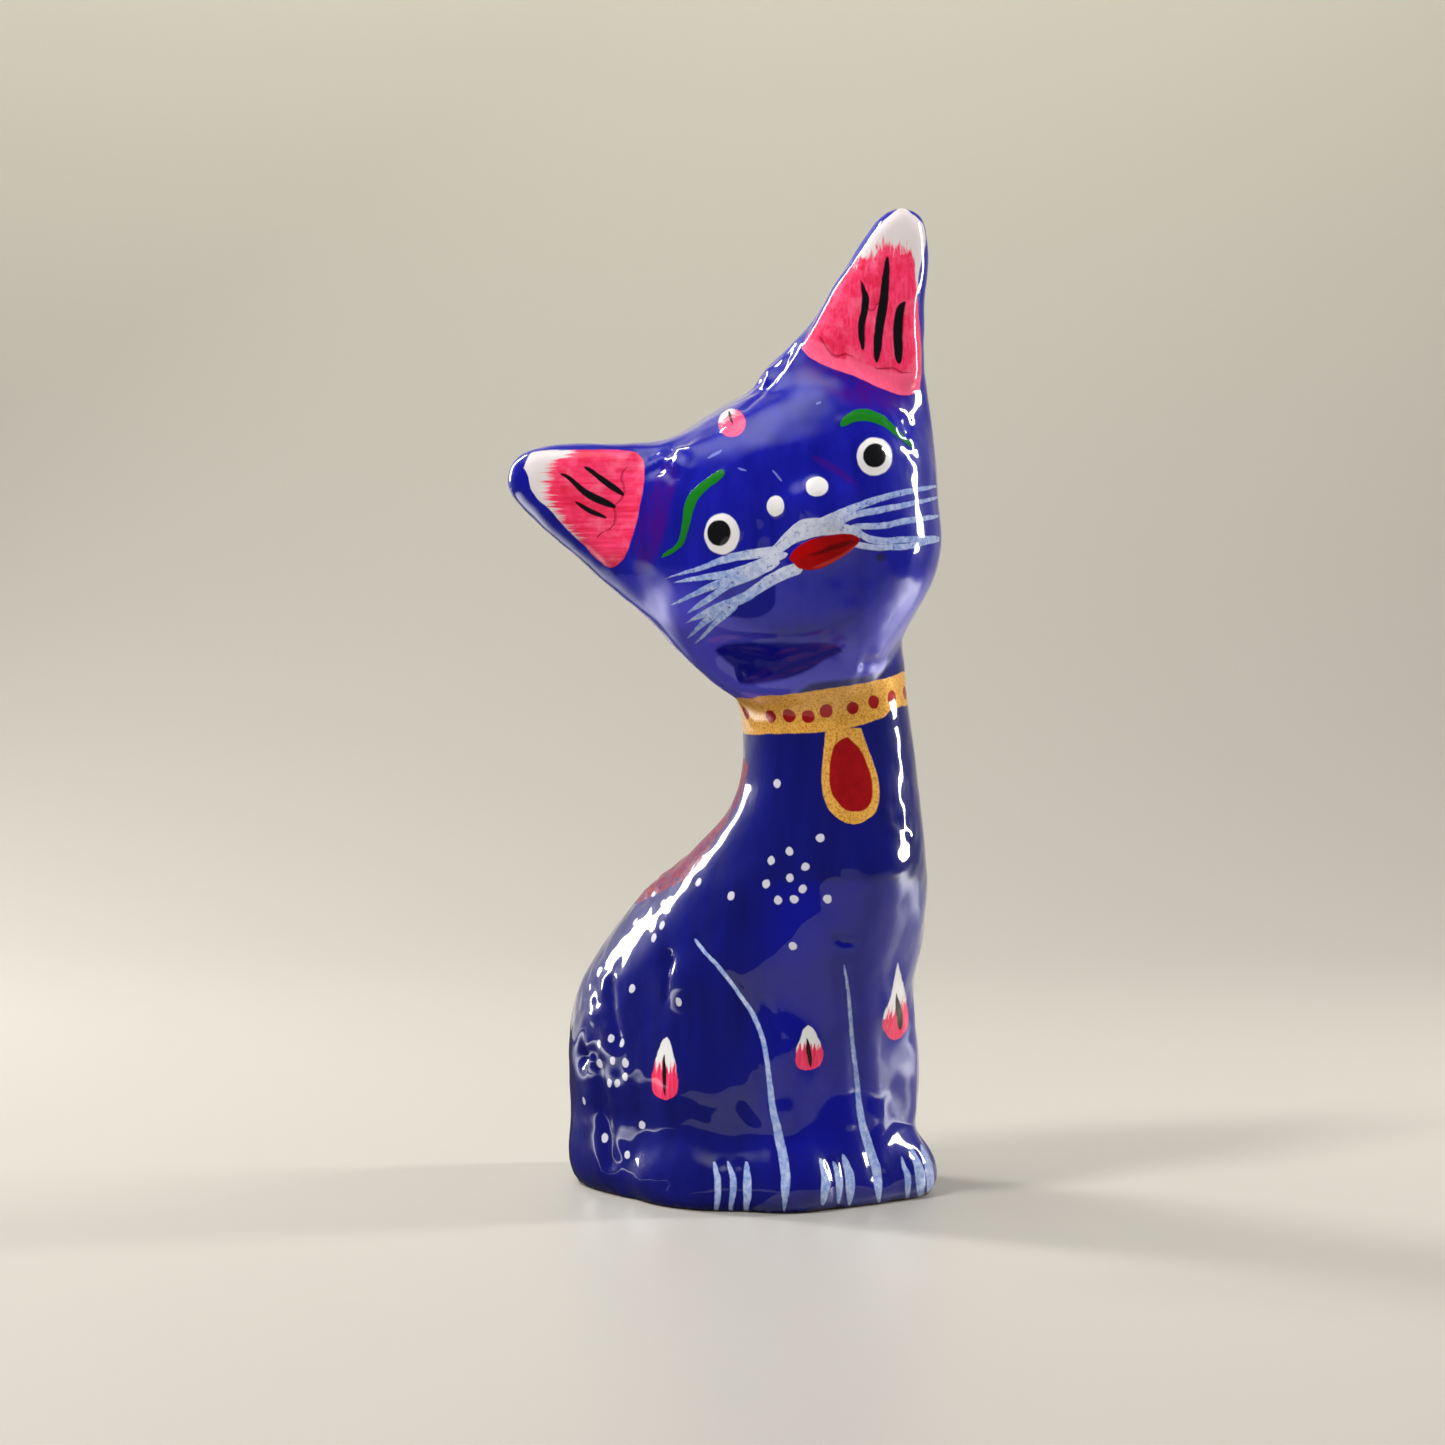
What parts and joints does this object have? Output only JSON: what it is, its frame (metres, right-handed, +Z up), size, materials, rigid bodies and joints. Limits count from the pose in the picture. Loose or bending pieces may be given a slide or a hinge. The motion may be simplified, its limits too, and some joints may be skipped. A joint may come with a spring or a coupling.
{
  "type": "cat statue",
  "caption": "Seated cat figure, head turned and tilted, with pointed ears, a collar and painted flowers on deep blue gloss.",
  "frame": {"origin": "in the flat underside that the figure stands on, at the middle of the seat", "axes": "+Z up, -Y the way the chest and front paws point, +X the cat's left side"},
  "size_m": [0.0895, 0.0945, 0.2],
  "materials": {
    "blue_gloss": "high gloss, hand painted"
  },
  "bodies": {
    "root": {"cat_figure": "blue_gloss"}
  },
  "joints": []
}
